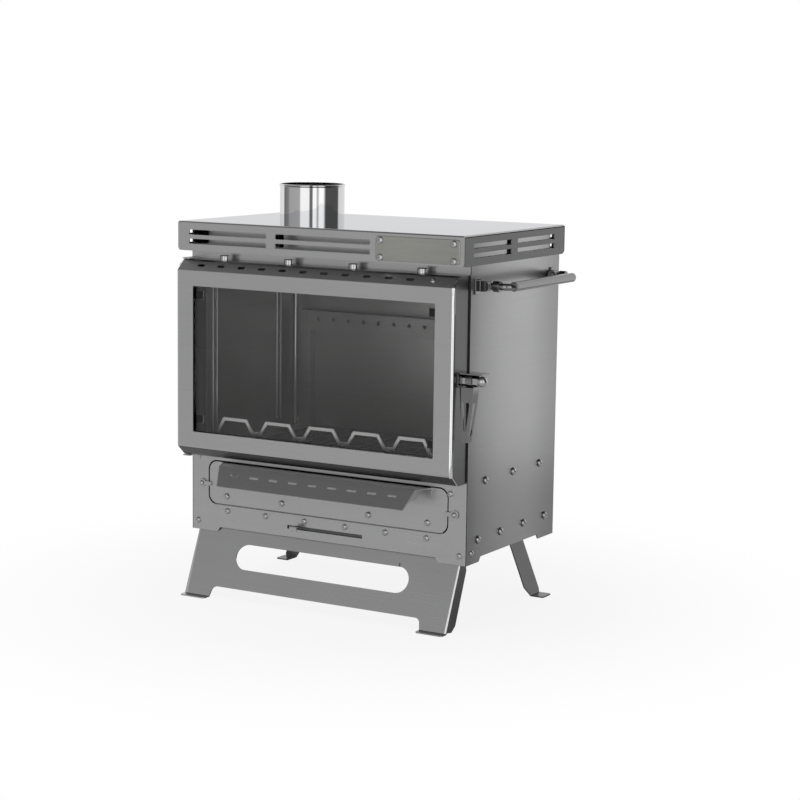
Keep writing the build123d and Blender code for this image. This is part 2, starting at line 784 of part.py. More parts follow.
def front_leg_plate():
    """One folded plate: web with the long slot and the arch, side flanges with pivot ears, toes."""
    plane = lean_plane((0, LEG_FOOT_Y, 0), (1, 0, 0), (0, -1, 0), LEAN)
    arch = 14.5
    web = outline(
        [
            (-LEG_X, 0),
            (-FOOT_X, 0),
            (-FOOT_X + 3, arch),
            (FOOT_X - 3, arch),
            (FOOT_X, 0),
            (LEG_X, 0),
            (LEG_X, LEG_WEB),
            (-LEG_X, LEG_WEB),
        ]
    )
    corners = [v for v in web.vertices() if abs(v.Y - arch) < 0.01]
    web = fillet(corners, 7)
    web -= Pos(0, 54.2) * SlotOverall(239.2, 30.8)
    leg = extrude(plane * web, amount=-SHEET)
    hem = Pos(0, 54.2 + 15.4 + 2) * Rectangle(208, 4)
    leg += extrude(plane * hem, amount=1.6)

    pivot_up = (LEG_PIVOT_Y - LEG_FOOT_Y) * sin(radians(LEAN)) + LEG_PIVOT_Z * cos(radians(LEAN))
    pivot_in = (LEG_PIVOT_Y - LEG_FOOT_Y) * cos(radians(LEAN)) - LEG_PIVOT_Z * sin(radians(LEAN))
    side = Plane(origin=(LEG_X - SHEET, LEG_FOOT_Y, 0), x_dir=-plane.z_dir, z_dir=(1, 0, 0))
    flange = outline(
        [
            (0, 2),
            (12, 5),
            (LEG_FLANGE, 14),
            (LEG_FLANGE, LEG_WEB - 8),
            (12, LEG_WEB + 2),
            (0, LEG_WEB + 2),
        ]
    )
    ear = outline([(0, LEG_WEB - 4), (12, LEG_WEB - 4), (pivot_in + 6.5, pivot_up), (0, pivot_up)])
    flange += ear
    flange += Pos(pivot_in, pivot_up) * Circle(6.5)
    flange &= Pos(50, 60) * Rectangle(100, 140)
    flange -= Pos(pivot_in, pivot_up) * Circle(LEG_PIN / 2 + FIT)
    right = extrude(side * flange, amount=SHEET)
    leg += right
    leg += mirror_x(right)
    for side_sign in (-1, 1):
        x0, x1 = sorted((side_sign * FOOT_X, side_sign * LEG_X))
        toe = block(x0, x1, LEG_FOOT_Y - TOE, LEG_FOOT_Y + 1, 0, SHEET)
        leg += fillet(toe.edges().filter_by(Axis.Z).group_by(Axis.Y)[0], 3)
    return leg & block(-200, 200, -200, 0, 0, 200)


def leg_bolts():
    """Pivot bolts of the front leg plate, through the side walls."""
    shank = Pos(184, LEG_PIVOT_Y, LEG_PIVOT_Z) * Rot(0, 90, 0) * Cylinder(LEG_PIN / 2, 12)
    nut = Pos(176.5, LEG_PIVOT_Y, LEG_PIVOT_Z) * Rot(0, 90, 0) * Cylinder(4.2, 3)
    head = Pos(HALF_W, LEG_PIVOT_Y, LEG_PIVOT_Z) * Rot(0, 90, 0) * dome(7.5, 2.4)
    return both_sides(shank + nut + head)


def rear_pivot():
    """Where the right rear leg turns: its place across and up."""
    angle = radians(LEAN)
    x = REAR_FOOT_X - REAR_PIVOT_UP * sin(angle) - REAR_PIVOT_IN * cos(angle)
    z = REAR_PIVOT_UP * cos(angle) - REAR_PIVOT_IN * sin(angle)
    return x, z


def rear_right_leg():
    """Folded leg: tapered web, lips along its edges that become pivot ears, and a toe."""
    plane = lean_plane((REAR_FOOT_X, 0, 0), (0, 1, 0), (1, 0, 0), LEAN)
    web = outline(
        [
            (REAR_Y0 + 10, 0),
            (REAR_Y1 - 3, 0),
            (REAR_Y1, 6),
            (REAR_Y1, REAR_WEB),
            (REAR_Y0, REAR_WEB),
            (REAR_Y0, 13),
        ]
    )
    leg = extrude(plane * web, amount=-SHEET)
    lip = outline([(0, 14), (4, 18), (4, 60), (REAR_LIP_D, 76), (REAR_LIP_D, REAR_PIVOT_UP), (0, REAR_PIVOT_UP)])
    lip += Pos(REAR_PIVOT_IN, REAR_PIVOT_UP) * Circle(REAR_PIVOT_IN)
    lip -= Pos(REAR_PIVOT_IN, REAR_PIVOT_UP) * Circle(REAR_PIN / 2 + FIT)
    for y in (REAR_Y0, REAR_Y1 - SHEET):
        side = Plane(origin=(REAR_FOOT_X, y, 0), x_dir=-plane.z_dir, z_dir=(0, -1, 0))
        leg += extrude(side * lip, amount=-SHEET)
    toe = block(REAR_FOOT_X - 1, REAR_FOOT_X + 16, 80, 102, 0, SHEET)
    leg += fillet(toe.edges().filter_by(Axis.Z).group_by(Axis.X)[-1], 3)
    return leg & block(0, 300, 0, 200, 0, 200)


def rear_left_leg():
    return mirror_x(rear_right_leg())


def rear_leg_hinges():
    """Brackets under the floor: two ears, the pivot pin and the bar that stops the leg's splay."""
    x, z = rear_pivot()
    angle = radians(LEAN)
    out = 2.5 + GAP
    up = REAR_WEB - 1
    stop_x = REAR_FOOT_X - up * sin(angle) + out * cos(angle)
    stop_z = up * cos(angle) + out * sin(angle)
    ear = outline(
        [
            (x - 7, FLOOR_Z),
            (x + 16, FLOOR_Z),
            (stop_x + 4, stop_z),
            (stop_x, stop_z - 3.6),
            (x - 4, z - 5),
            (x - 7, z),
        ]
    )
    front_ear = extrude(front_plane(REAR_Y0 - GAP) * ear, amount=SHEET)
    y0 = REAR_Y0 - GAP - SHEET
    y1 = REAR_Y1 + GAP + SHEET
    rear_ear = extrude(front_plane(y1) * ear, amount=SHEET)
    bracket = front_ear + rear_ear
    bracket += block(x - 7, x + 16, y0, y1, FLOOR_Z - SHEET, FLOOR_Z)
    bracket += rod((x, y0, z), (x, y1, z), REAR_PIN)
    bracket += rod((stop_x, y0, stop_z), (stop_x, y1, stop_z), 5)
    return both_sides(bracket)


# Carry handles

def right_carry_handle():
    """Bail of round rod: eyes on the pivot pins, two arms with collars, and a thicker grip."""
    bend = 9.0
    bail = rod((GRIP_X, HANDLE_FRONT + bend, HANDLE_Z), (GRIP_X, HANDLE_REAR - bend, HANDLE_Z), GRIP_D)
    for y, turn in ((HANDLE_FRONT, 1), (HANDLE_REAR, -1)):
        arm_end = GRIP_X - bend
        bail += rod((HANDLE_PIVOT_X + 4, y, HANDLE_Z), (arm_end, y, HANDLE_Z), ARM_D)
        corner = ThreePointArc(
            (arm_end, y, HANDLE_Z),
            (GRIP_X - bend * (1 - sin(radians(45))), y + turn * bend * (1 - cos(radians(45))), HANDLE_Z),
            (GRIP_X, y + turn * bend, HANDLE_Z),
        )
        start = Plane(origin=(arm_end, y, HANDLE_Z), z_dir=(1, 0, 0))
        bail += sweep(start * Circle(ARM_D / 2), path=corner)
        bail += rod((206, y, HANDLE_Z), (214, y, HANDLE_Z), 12.5)
        eye = Pos(HANDLE_PIVOT_X, y, HANDLE_Z) * Rot(90, 0, 0) * Cylinder(6, 9)
        bail += eye
        bail -= Pos(HANDLE_PIVOT_X, y, HANDLE_Z) * Rot(90, 0, 0) * Cylinder(HANDLE_PIN / 2 + FIT, 20)
    return bail


def left_carry_handle():
    return mirror_x(right_carry_handle())


def handle_brackets():
    """Wall brackets: each has a foot, one ear, and the pin that an eye turns on."""
    pieces = []
    for y, away in ((HANDLE_FRONT, -1), (HANDLE_REAR, 1)):
        near = y + away * (4.5 + GAP)
        ear0, ear1 = sorted((near, near + away * 2.5))
        foot0, foot1 = sorted((near, near + away * 12))
        ear = rounded(HALF_W, HANDLE_PIVOT_X + 6, HANDLE_Z - 6, HANDLE_Z + 6, 5.5)
        ear += Pos(HALF_W + 3, HANDLE_Z) * Rectangle(6, 12)
        bracket = extrude(front_plane(ear1) * ear, amount=ear1 - ear0)
        bracket += block(HALF_W, HALF_W + 2, foot0, foot1, HANDLE_Z - 9, HANDLE_Z + 9)
        tip = y - away * 5.5
        pin0, pin1 = sorted((ear0 if away < 0 else ear1, tip))
        bracket += rod((HANDLE_PIVOT_X, pin0, HANDLE_Z), (HANDLE_PIVOT_X, pin1, HANDLE_Z), HANDLE_PIN)
        head0, head1 = sorted((tip, tip - away * 1.5))
        bracket += rod((HANDLE_PIVOT_X, head0, HANDLE_Z), (HANDLE_PIVOT_X, head1, HANDLE_Z), 7.5)
        pieces.append(bracket)
    return together(pieces + [mirror_x(piece) for piece in pieces])


PIECES = [
    front_panel,
    rear_panel,
    left_side_panel,
    right_side_panel,
    floor_plate,
    air_box,
    damper_guides,
    air_damper,
    seam_screws,
    side_bolts,
    fire_shelf,
    fire_grate,
    firebox_roof,
    baffle_plate,
    left_liner,
    right_liner,
    rear_liner,
    secondary_air_box,
    air_duct,
    log_guard,
    cooktop,
    flue_collar,
    name_plate,
    name_plate_screws,
    door_frame,
    door_gasket,
    door_glass,
    glass_clips,
    door_studs,
    door_hinges,
    latch_shaft,
    latch_handle,
    latch_cover,
    latch_cam,
    latch_keeper,
    drawer_front,
    ash_tray,
    drawer_hood,
    drawer_screws,
    drawer_runners,
    left_turn_button,
    right_turn_button,
    button_screws,
    front_leg_plate,
    leg_bolts,
    rear_left_leg,
    rear_right_leg,
    rear_leg_hinges,
    left_carry_handle,
    right_carry_handle,
    handle_brackets,
]

os.makedirs("parts", exist_ok=True)
for make in PIECES:
    export_step(Pos(0, SHIFT_Y, 0) * make(), f"parts/{make.__name__}.step")
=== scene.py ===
"""Tent wood stove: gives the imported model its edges, screws, metals and glass, and sets its studio."""

import json
from math import cos, pi, radians, sin, tan

import bpy
from bpy.props import FloatProperty, FloatVectorProperty, IntProperty, PointerProperty
from mathutils import Matrix, Vector

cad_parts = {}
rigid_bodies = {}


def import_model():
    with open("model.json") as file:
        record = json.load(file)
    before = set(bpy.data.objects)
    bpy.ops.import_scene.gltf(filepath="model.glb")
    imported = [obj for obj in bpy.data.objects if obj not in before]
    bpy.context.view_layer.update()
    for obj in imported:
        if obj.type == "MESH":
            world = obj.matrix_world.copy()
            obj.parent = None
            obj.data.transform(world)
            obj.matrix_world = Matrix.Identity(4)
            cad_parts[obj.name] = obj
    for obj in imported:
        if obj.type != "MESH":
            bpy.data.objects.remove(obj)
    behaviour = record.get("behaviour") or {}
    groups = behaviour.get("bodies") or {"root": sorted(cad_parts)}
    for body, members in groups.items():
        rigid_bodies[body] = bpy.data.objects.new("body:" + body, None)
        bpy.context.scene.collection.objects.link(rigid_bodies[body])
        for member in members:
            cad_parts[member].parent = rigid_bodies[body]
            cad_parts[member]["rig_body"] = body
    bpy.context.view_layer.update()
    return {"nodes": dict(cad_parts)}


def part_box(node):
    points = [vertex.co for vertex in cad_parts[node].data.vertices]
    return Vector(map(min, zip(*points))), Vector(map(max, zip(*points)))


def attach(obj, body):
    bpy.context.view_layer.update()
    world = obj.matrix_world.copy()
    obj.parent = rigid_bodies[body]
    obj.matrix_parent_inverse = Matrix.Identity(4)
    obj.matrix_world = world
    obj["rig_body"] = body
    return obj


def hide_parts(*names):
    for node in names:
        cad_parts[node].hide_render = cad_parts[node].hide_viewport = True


bl_info = {
    "name": "Tent wood stove",
    "version": (1, 0, 0),
    "blender": (4, 5, 0),
    "location": "View3D > Sidebar > Stove",
    "description": "Finishes a tent wood stove's sheets, fastenings and glass and lights it in a studio",
    "category": "Object",
}

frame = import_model()

# Points closer together than this are one point, in metres
SAME_POINT = 0.00001

# A point closer to a plane than this is on it, in metres
ON_PLANE = 0.00003

# Faces that meet at a smaller angle than this are one flat face, in degrees
FLAT_ANGLE = 0.4

# Edges that turn by more than this are rounded, on sheets and on round pieces, in degrees
SHEET_ANGLE = 32
ROUND_ANGLE = 40

# A face looks one way, squarely or exactly, when its unit normal reaches this far that way
FACING = 0.9
SQUARELY = 0.97
EXACTLY = 0.999

UP = Vector((0, 0, 1))
FRONT = Vector((0, -1, 0))
BACK = Vector((0, 1, 0))


def length_setting(name, description, default):
    """A length in metres that the sidebar shows to a hundredth of a millimetre."""
    return FloatProperty(name=name, description=description, default=default, unit="LENGTH", precision=5)


def colour_setting(name, description, default):
    """A colour that the sidebar shows as a swatch."""
    return FloatVectorProperty(name=name, description=description, default=default, subtype="COLOR", size=3)


class StoveSizes(bpy.types.PropertyGroup):
    """Sizes of the stove's small forms."""

    sheet_edge: length_setting("Sheet edge", "Rounding of the sheets' cut edges", 0.00035)
    door_fold: length_setting("Door fold", "Outer radius of the door frame's folds", 0.0029)
    cooktop_fold: length_setting(
        "Cooktop fold", "Outer radius where the cooktop turns down into its skirts", 0.0024
    )
    leg_fold: length_setting("Leg fold", "Outer radius between the front leg plate and its flanges", 0.0032)
    corner_fold: length_setting("Wall corner", "Rounding of the body's upright corner edges", 0.0011)
    plate_edge: length_setting("Plate edge", "Rounding of the name plate's edge", 0.0006)
    bar_edge: length_setting("Bar edge", "Rounding of nuts, pins and brackets", 0.0005)
    recess: length_setting("Screw recess", "Depth of the socket in a screw head", 0.0011)
    washer: length_setting("Washer", "How far a washer shows round a wall bolt", 0.0008)
    rope: length_setting("Rope strand", "Length of one turn of the seal's weave", 0.004)
    head_sides: IntProperty(
        name="Roundness",
        description="Sides of a modelled screw head",
        default=24,
        min=8,
        max=64,
    )


class StoveColours(bpy.types.PropertyGroup):
    """Colours of the stove's finishes."""

    brushed: colour_setting("Brushed steel", "Colour of the walls, door and drawer", (0.575, 0.576, 0.58))
    mirror: colour_setting("Mirror steel", "Colour of the cooktop's plate", (0.36, 0.375, 0.44))
    polished: colour_setting("Polished steel", "Colour of the fastenings", (0.55, 0.55, 0.56))
    handle: colour_setting("Handle steel", "Colour of the carry handles and the latch", (0.28, 0.28, 0.285))
    chrome: colour_setting(
        "Bright steel", "Colour of the polished flue collar and the log guard", (0.72, 0.72, 0.72)
    )
    plate: colour_setting(
        "Name plate", "Colour of the bare plate, a little warmer than the walls", (0.475, 0.48, 0.44)
    )
    # Painted shade: a darker copy of the brushed steel for faces that look away from the light
    skirt: colour_setting(
        "Dark steel",
        "Colour of the cooktop's side skirts, the rear legs and the sides that look away from the light",
        (0.135, 0.136, 0.138),
    )
    # Painted highlight: a near-white colour on the sheets' folds stands in for the bright line that light
    # draws along them
    fold: colour_setting("Folds", "Colour of the sheets' burnished folds", (0.85, 0.85, 0.86))
    # Painted shade: a near-black colour on the front panel's corner folds stands in for the shadow where it
    # meets the side walls
    seam: colour_setting(
        "Seam", "Colour of the dark seam where the front panel meets the side walls", (0.06, 0.06, 0.06)
    )
    bead: colour_setting("Corner bead", "Colour of the rod in the firebox's corner", (0.92, 0.92, 0.92))
    firebox: colour_setting("Firebox steel", "Colour of the sheets inside the firebox", (0.32, 0.32, 0.32))
    grate: colour_setting("Cast iron", "Colour of the cast grate", (0.045, 0.045, 0.047))
    seal: colour_setting("Seal rope", "Colour of the woven rope round the window", (0.030, 0.030, 0.029))
    glass: colour_setting("Window glass", "Tint of the glass where it is clearest", (0.92, 0.92, 0.91))
    glass_haze: colour_setting("Glass haze", "Tint of the glass where it is haziest", (0.86, 0.87, 0.86))
    floor: colour_setting("Floor", "Colour of the studio floor", (0.55, 0.55, 0.55))


class StoveStudio(bpy.types.PropertyGroup):
    """Light, floor and camera."""

    key: FloatProperty(
        name="Overhead light",
        description="Power of the large soft light above the stove",
        default=45.0,
        min=0.0,
        unit="POWER",
    )
    horizon: FloatProperty(
        name="Horizon",
        description="Strength of the studio's walls as the metal shows them",
        default=2.1,
        min=0.0,
    )
    lens: FloatProperty(
        name="Lens",
        description="Focal length of the camera in millimetres",
        default=95.81,
    )
    floor_radius: length_setting("Floor radius", "Radius of the round floor", 1.1)
    fade_start: length_setting("Fade start", "Where the floor begins to turn white, from its middle", 0.18)
    fade_end: length_setting("Fade end", "Where the floor is plain white, from its middle", 0.62)


def sizes():
    return bpy.context.scene.stove_sizes


def colours():
    return bpy.context.scene.stove_colours


def studio():
    return bpy.context.scene.stove_studio


# Modelling helpers


def select_only(piece):
    """Makes one object the only selected and active one."""
    bpy.ops.object.select_all(action="DESELECT")
    piece.select_set(True)
    bpy.context.view_layer.objects.active = piece


def apply_modifier(piece, kind, **settings):
    """Adds a modifier with these settings and applies it."""
    modifier = piece.modifiers.new(kind.title(), kind)
    for key, value in settings.items():
        setattr(modifier, key, value)
    select_only(piece)
    bpy.ops.object.modifier_apply(modifier=modifier.name)


def facing(way, share=FACING):
    """A test for the faces that look this way."""
    return lambda centre, normal: normal.dot(way) > share


def looks_sideways(centre, normal):
    """Whether a face looks squarely to the left or right."""
    return abs(normal.x) > SQUARELY


def pick_faces(piece, wanted):
    """In edit mode, selects the faces whose centre and normal pass the test."""
    bpy.ops.mesh.select_mode(type="FACE")
    bpy.ops.mesh.select_all(action="DESELECT")
    bpy.ops.object.mode_set(mode="OBJECT")
    for face in piece.data.polygons:
        face.select = wanted(face.center, face.normal)
    bpy.ops.object.mode_set(mode="EDIT")


def extrude(*way):
    """In edit mode, pulls the picked faces out by this much along X, Y and Z."""
    bpy.ops.mesh.extrude_region_move(TRANSFORM_OT_translate={"value": way})


def settle(piece):
    """Moves an object's place, turn and size into its mesh."""
    select_only(piece)
    bpy.ops.object.transform_apply(location=True, rotation=True, scale=True)


def copy_of(node, name):
    """A copy of a CAD node's mesh as a new piece, with its loose triangles merged."""
    piece = bpy.data.objects.new(name, frame["nodes"][node].data.copy())
    bpy.context.scene.collection.objects.link(piece)
    piece.data.materials.clear()
    select_only(piece)
    bpy.ops.mesh.customdata_custom_splitnormals_clear()
    bpy.ops.object.mode_set(mode="EDIT")
    bpy.ops.mesh.select_all(action="SELECT")
    bpy.ops.mesh.remove_doubles(threshold=SAME_POINT)
    bpy.ops.mesh.dissolve_limited(angle_limit=radians(FLAT_ANGLE))
    bpy.ops.object.mode_set(mode="OBJECT")
    return piece


def rounded_edges(piece, width, angle=SHEET_ANGLE, segments=2):
    """Rounds a piece's sharp edges and shades it smooth between them."""
    select_only(piece)
    bpy.ops.object.shade_smooth_by_angle(angle=radians(angle))
    apply_modifier(
        piece,
        "BEVEL",
        width=width,
        segments=segments,
        limit_method="ANGLE",
        angle_limit=radians(angle),
        harden_normals=True,
    )
    return piece


def fold(piece, radius, on_fold):
    """Rounds the edges whose two ends pass the test, and gives these folds the piece's second finish."""
    select_only(piece)
    bpy.ops.object.mode_set(mode="EDIT")
    bpy.ops.mesh.select_mode(type="EDGE")
    bpy.ops.mesh.select_all(action="DESELECT")
    bpy.ops.object.mode_set(mode="OBJECT")
    vertices = piece.data.vertices
    for edge in piece.data.edges:
        first, second = (vertices[index].co for index in edge.vertices)
        edge.select = on_fold(first, second)
    bpy.ops.object.mode_set(mode="EDIT")
    bpy.ops.mesh.bevel(offset=radius, segments=5, profile=0.5, affect="EDGES")
    bpy.ops.object.mode_set(mode="OBJECT")
    for face in piece.data.polygons:
        if face.select:
            face.material_index = 1


def near(first, second):
    """Whether two places along an axis are the same."""
    return abs(first - second) < ON_PLANE


def stands_for(piece, node):
    """A piece takes the place of a CAD node and rides on its body."""
    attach(piece, frame["nodes"][node]["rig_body"])
    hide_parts(node)


def dressed(node, material, width=None, angle=SHEET_ANGLE, segments=2, folds=None):
    """A CAD node's form with rounded edges and a finish; folds is a radius, a test and a finish."""
    piece = copy_of(node, f"{node}_piece")
    piece.data.materials.append(material)
    if folds:
        radius, on_fold, fold_material = folds
        piece.data.materials.append(fold_material)
        fold(piece, radius, on_fold)
    rounded_edges(piece, sizes().sheet_edge if width is None else width, angle, segments)
    if folds:
        apply_modifier(piece, "WEIGHTED_NORMAL", keep_sharp=True, weight=100)
    stands_for(piece, node)
    return piece


def refinish(piece, material, wanted):
    """Gives the faces whose centre and normal pass the test this finish."""
    finishes = piece.data.materials
    if material.name not in finishes:
        finishes.append(material)
    index = finishes.find(material.name)
    for face in piece.data.polygons:
        if wanted(face.center, face.normal):
            face.material_index = index


def added(piece, material, body):
    """Finishes a new piece and lets it ride on a body."""
    piece.data.materials.append(material)
    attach(piece, body)


def lumps(node):
    """The lowest and highest corner of each separate solid of a CAD node."""
    whole = copy_of(node, "lumps")
    bpy.ops.mesh.separate(type="LOOSE")
    boxes = []
    for part in list(bpy.context.selected_objects):
        points = [vertex.co for vertex in part.data.vertices]
        low = Vector(min(point[axis] for point in points) for axis in range(3))
        high = Vector(max(point[axis] for point in points) for axis in range(3))
        boxes.append((low, high))
        bpy.data.objects.remove(part)
    return boxes


def seat(low, high):
    """Where a screw head sits on its wall, and the way it faces."""
    size = high - low
    axis = min(range(3), key=lambda index: size[index])
    place = (low + high) / 2
    outward = 1 if place[axis] > 0 else -1
    place[axis] = low[axis] if outward > 0 else high[axis]
    way = Vector((0, 0, 0))
    way[axis] = outward
    return place, way


def copies(model, seats, name):
    """Copies of one modelled piece, each with its own mesh set on a seat, joined as one piece."""
    made = []
    for place, way in seats:
        turn = UP.rotation_difference(way).to_matrix().to_4x4()
        one = model.copy()
        one.data = model.data.copy()
        one.data.transform(Matrix.Translation(place) @ turn)
        bpy.context.scene.collection.objects.link(one)
        made.append(one)
    bpy.data.objects.remove(model)
    select_only(made[0])
    for one in made:
        one.select_set(True)
    bpy.ops.object.join()
    made[0].name = name
    return made[0]


def rod(radius, length, foot, sides):
    """An upright cylinder that starts at this height, in edit mode."""
    place = (0, 0, foot + length / 2)
    bpy.ops.mesh.primitive_cylinder_add(vertices=sides, radius=radius, depth=length, location=place)
    piece = bpy.context.active_object
    settle(piece)
    bpy.ops.object.mode_set(mode="EDIT")
    return piece


def screw_head(radius, height, washer=0.0):
    """A domed head that stands on z = 0, with a socket, and a washer where one is wanted."""
    dome = height * 0.72
    rim = radius * 0.12
    socket_depth = min(sizes().recess, height * 0.5)
    socket_taper = radius * 0.03
    washer_height = height * 0.02
    head = rod(radius, height, 0, sizes().head_sides)
    pick_faces(head, facing(UP))
    bpy.ops.mesh.bevel(offset=dome, segments=4, profile=0.55, affect="EDGES")
    pick_faces(head, facing(UP, EXACTLY))
    bpy.ops.mesh.inset(thickness=rim)
    extrude(0, 0, -socket_depth)
    bpy.ops.mesh.inset(thickness=socket_taper)
    if washer:
        wide = 1 + washer / radius
        pick_faces(head, facing(-UP))
        extrude(0, 0, 0)
        bpy.ops.transform.resize(value=(wide, wide, 1))
        extrude(0, 0, -washer_height)
    bpy.ops.object.mode_set(mode="OBJECT")
    bpy.ops.object.shade_smooth_by_angle(angle=radians(38))
    return head


def bar(name, start, end, radius):
    """A round bar with turned-down ends between two points."""
    length = (end - start).length
    turned_down = radius * 0.4
    piece = rod(radius, length, -length / 2, sides=16)
    piece.name = name
    pick_faces(piece, lambda centre, normal: abs(normal.z) > FACING)
    bpy.ops.mesh.bevel(offset=turned_down, segments=3, affect="EDGES")
    bpy.ops.object.mode_set(mode="OBJECT")
    piece.rotation_euler = (end - start).to_track_quat("Z", "Y").to_euler()
    piece.location = (start + end) / 2
    settle(piece)
    bpy.ops.object.shade_smooth_by_angle(angle=radians(ROUND_ANGLE))
    return piece


def block(name, low, high, depth_share=1.0):
    """A block between two corners that fills this share of their distance along Y, in edit mode."""
    size = high - low
    bpy.ops.mesh.primitive_cube_add(size=1, location=(low + high) / 2)
    piece = bpy.context.active_object
    piece.name = name
    piece.scale = (size.x, size.y * depth_share, size.z)
    settle(piece)
    bpy.ops.object.mode_set(mode="EDIT")
    return piece


def folded_strip(name, low, high, lip):
    """A strip of sheet between two corners whose lower half is folded back by lip along +Y."""
    piece = block(name, low, high)
    middle = (low.z + high.z) / 2
    pick_faces(piece, facing(BACK))
    bpy.ops.mesh.subdivide(number_cuts=1)
    pick_faces(piece, lambda centre, normal: normal.y > FACING and centre.z < middle)
    extrude(0, lip, 0)
    bpy.ops.object.mode_set(mode="OBJECT")
    return rounded_edges(piece, sizes().sheet_edge)


def cushion_strip(name, low, high):
    """A flat strip between two corners with a raised, rounded middle."""
    width = high.x - low.x
    depth = high.y - low.y
    shoulder = width * 0.25
    rise = depth * 0.3
    softness = depth * 0.2
    piece = block(name, low, high, depth_share=0.6)
    pick_faces(piece, facing(FRONT))
    bpy.ops.mesh.inset(thickness=shoulder)
    bpy.ops.transform.translate(value=(0, -rise, 0))
    bpy.ops.object.mode_set(mode="OBJECT")
    return rounded_edges(piece, softness, angle=20)


def screws(node, radius, height, washer=0.0):
    """Screw heads in the places of a CAD node's heads."""
    model = screw_head(radius, height, washer)
    seats = [seat(low, high) for low, high in lumps(node)]
    piece = copies(model, seats, f"{node}_heads")
    piece.data.materials.append(finish("polished_steel"))
    stands_for(piece, node)


# Shader helpers


def feed(tree, node, inputs):
    """Sets a node's inputs to values, or links them to other nodes' outputs."""
    for key, value in inputs.items():
        if isinstance(value, bpy.types.NodeSocket):
            tree.links.new(value, node.inputs[key])
        else:
            node.inputs[key].default_value = value


def add_node(tree, kind, inputs=None, **settings):
    """A shader node of this kind with its settings and inputs."""
    node = tree.nodes.new(f"ShaderNode{kind}")
    for key, value in settings.items():
        setattr(node, key, value)
    feed(tree, node, inputs or {})
    return node


def math_node(tree, operation, *values):
    """The result of a Math node with each input linked or set."""
    return add_node(tree, "Math", dict(enumerate(values)), operation=operation).outputs[0]


def object_place(tree):
    """A shaded point's place on its piece, in metres."""
    return add_node(tree, "TexCoord").outputs["Object"]


def noise(tree, place, scale, detail, **more):
    """Cloudy noise between 0 and 1."""
    inputs = {"Vector": place, "Scale": scale, "Detail": detail}
    return add_node(tree, "TexNoise", inputs | more).outputs["Fac"]


def between(tree, value, low, high):
    """A value from 0 to 1 moved into the range from low to high."""
    return add_node(tree, "MapRange", {"Value": value, "To Min": low, "To Max": high}).outputs["Result"]


def shade(colour, share):
    """A colour made darker or lighter."""
    return [part * share for part in colour]


def ramp(tree, value, stops, interpolation="LINEAR"):
    """A colour ramp, from pairs of a place between 0 and 1 and a colour."""
    node = add_node(tree, "ValToRGB", {"Fac": value})
    node.color_ramp.interpolation = interpolation
    elements = node.color_ramp.elements
    while len(elements) < len(stops):
        elements.new(0.5)
    for element, (place, colour) in zip(elements, stops):
        element.position = place
        element.color = (*colour, 1)
    return node.outputs["Color"]


def bump(tree, height, strength, distance):
    """The normal of a surface with this relief."""
    inputs = {"Height": height, "Strength": strength, "Distance": distance}
    return add_node(tree, "Bump", inputs).outputs["Normal"]


def new_material(name):
    """An empty material, its Principled shader and its node tree."""
    material = bpy.data.materials.new(f"stove_{name}")
    material.use_nodes = True
    tree = material.node_tree
    return material, tree.nodes["Principled BSDF"], tree


# Finishes

# How bright a sheet is painted along an axis as painted light, from pairs of a place in metres and a share
# of its colour
# Painted reflection: bright and dark upright bands on the side walls, darker near the front and the rear
SIDE_PAINTED_SHEEN = (
    "Y",
    ((-0.095, 0.38), (-0.07, 0.56), (-0.02, 0.76), (0.05, 0.84), (0.09, 0.66), (0.126, 0.55)),
)
# Painted light: the rear liner turns brighter towards its right end, as if lit there
REAR_PAINTED_GLOW = (
    "X",
    ((-0.15, 1.0), (-0.02, 1.0), (0.06, 1.3), (0.12, 2.5), (0.16, 2.8)),
)

# A metal's grain: roughly how many lines cross a metre along X, Y and Z, how strongly the lines and the
# smudges change its colour, and the lines' relief
WALL_GRAIN = {"lines": (4, 4, 1500), "grain": 0.14, "smudge": 0.10, "relief": 0.05}
HEATED_GRAIN = {"lines": (4, 4, 1500), "grain": 0.25, "smudge": 0.35, "relief": 0.10}
REAR_GRAIN = {"lines": (4, 4, 1500), "grain": 0.20, "smudge": 0.20, "relief": 0.10}
POLISH_GRAIN = {"lines": (40, 40, 60), "grain": 0.06, "smudge": 0.10, "relief": 0.02}
HANDLE_GRAIN = {"lines": (40, 40, 60), "grain": 0.10, "smudge": 0.15, "relief": 0.02}
COLLAR_GRAIN = {"lines": (200, 200, 6), "grain": 0.05, "smudge": 0.05, "relief": 0.01}
MIRROR_GRAIN = {"lines": (4, 800, 4), "grain": 0.03, "smudge": 0.02, "relief": 0.002}
NAME_PLATE_GRAIN = {"lines": (30, 30, 300), "grain": 0.20, "smudge": 0.35, "relief": 0.12}

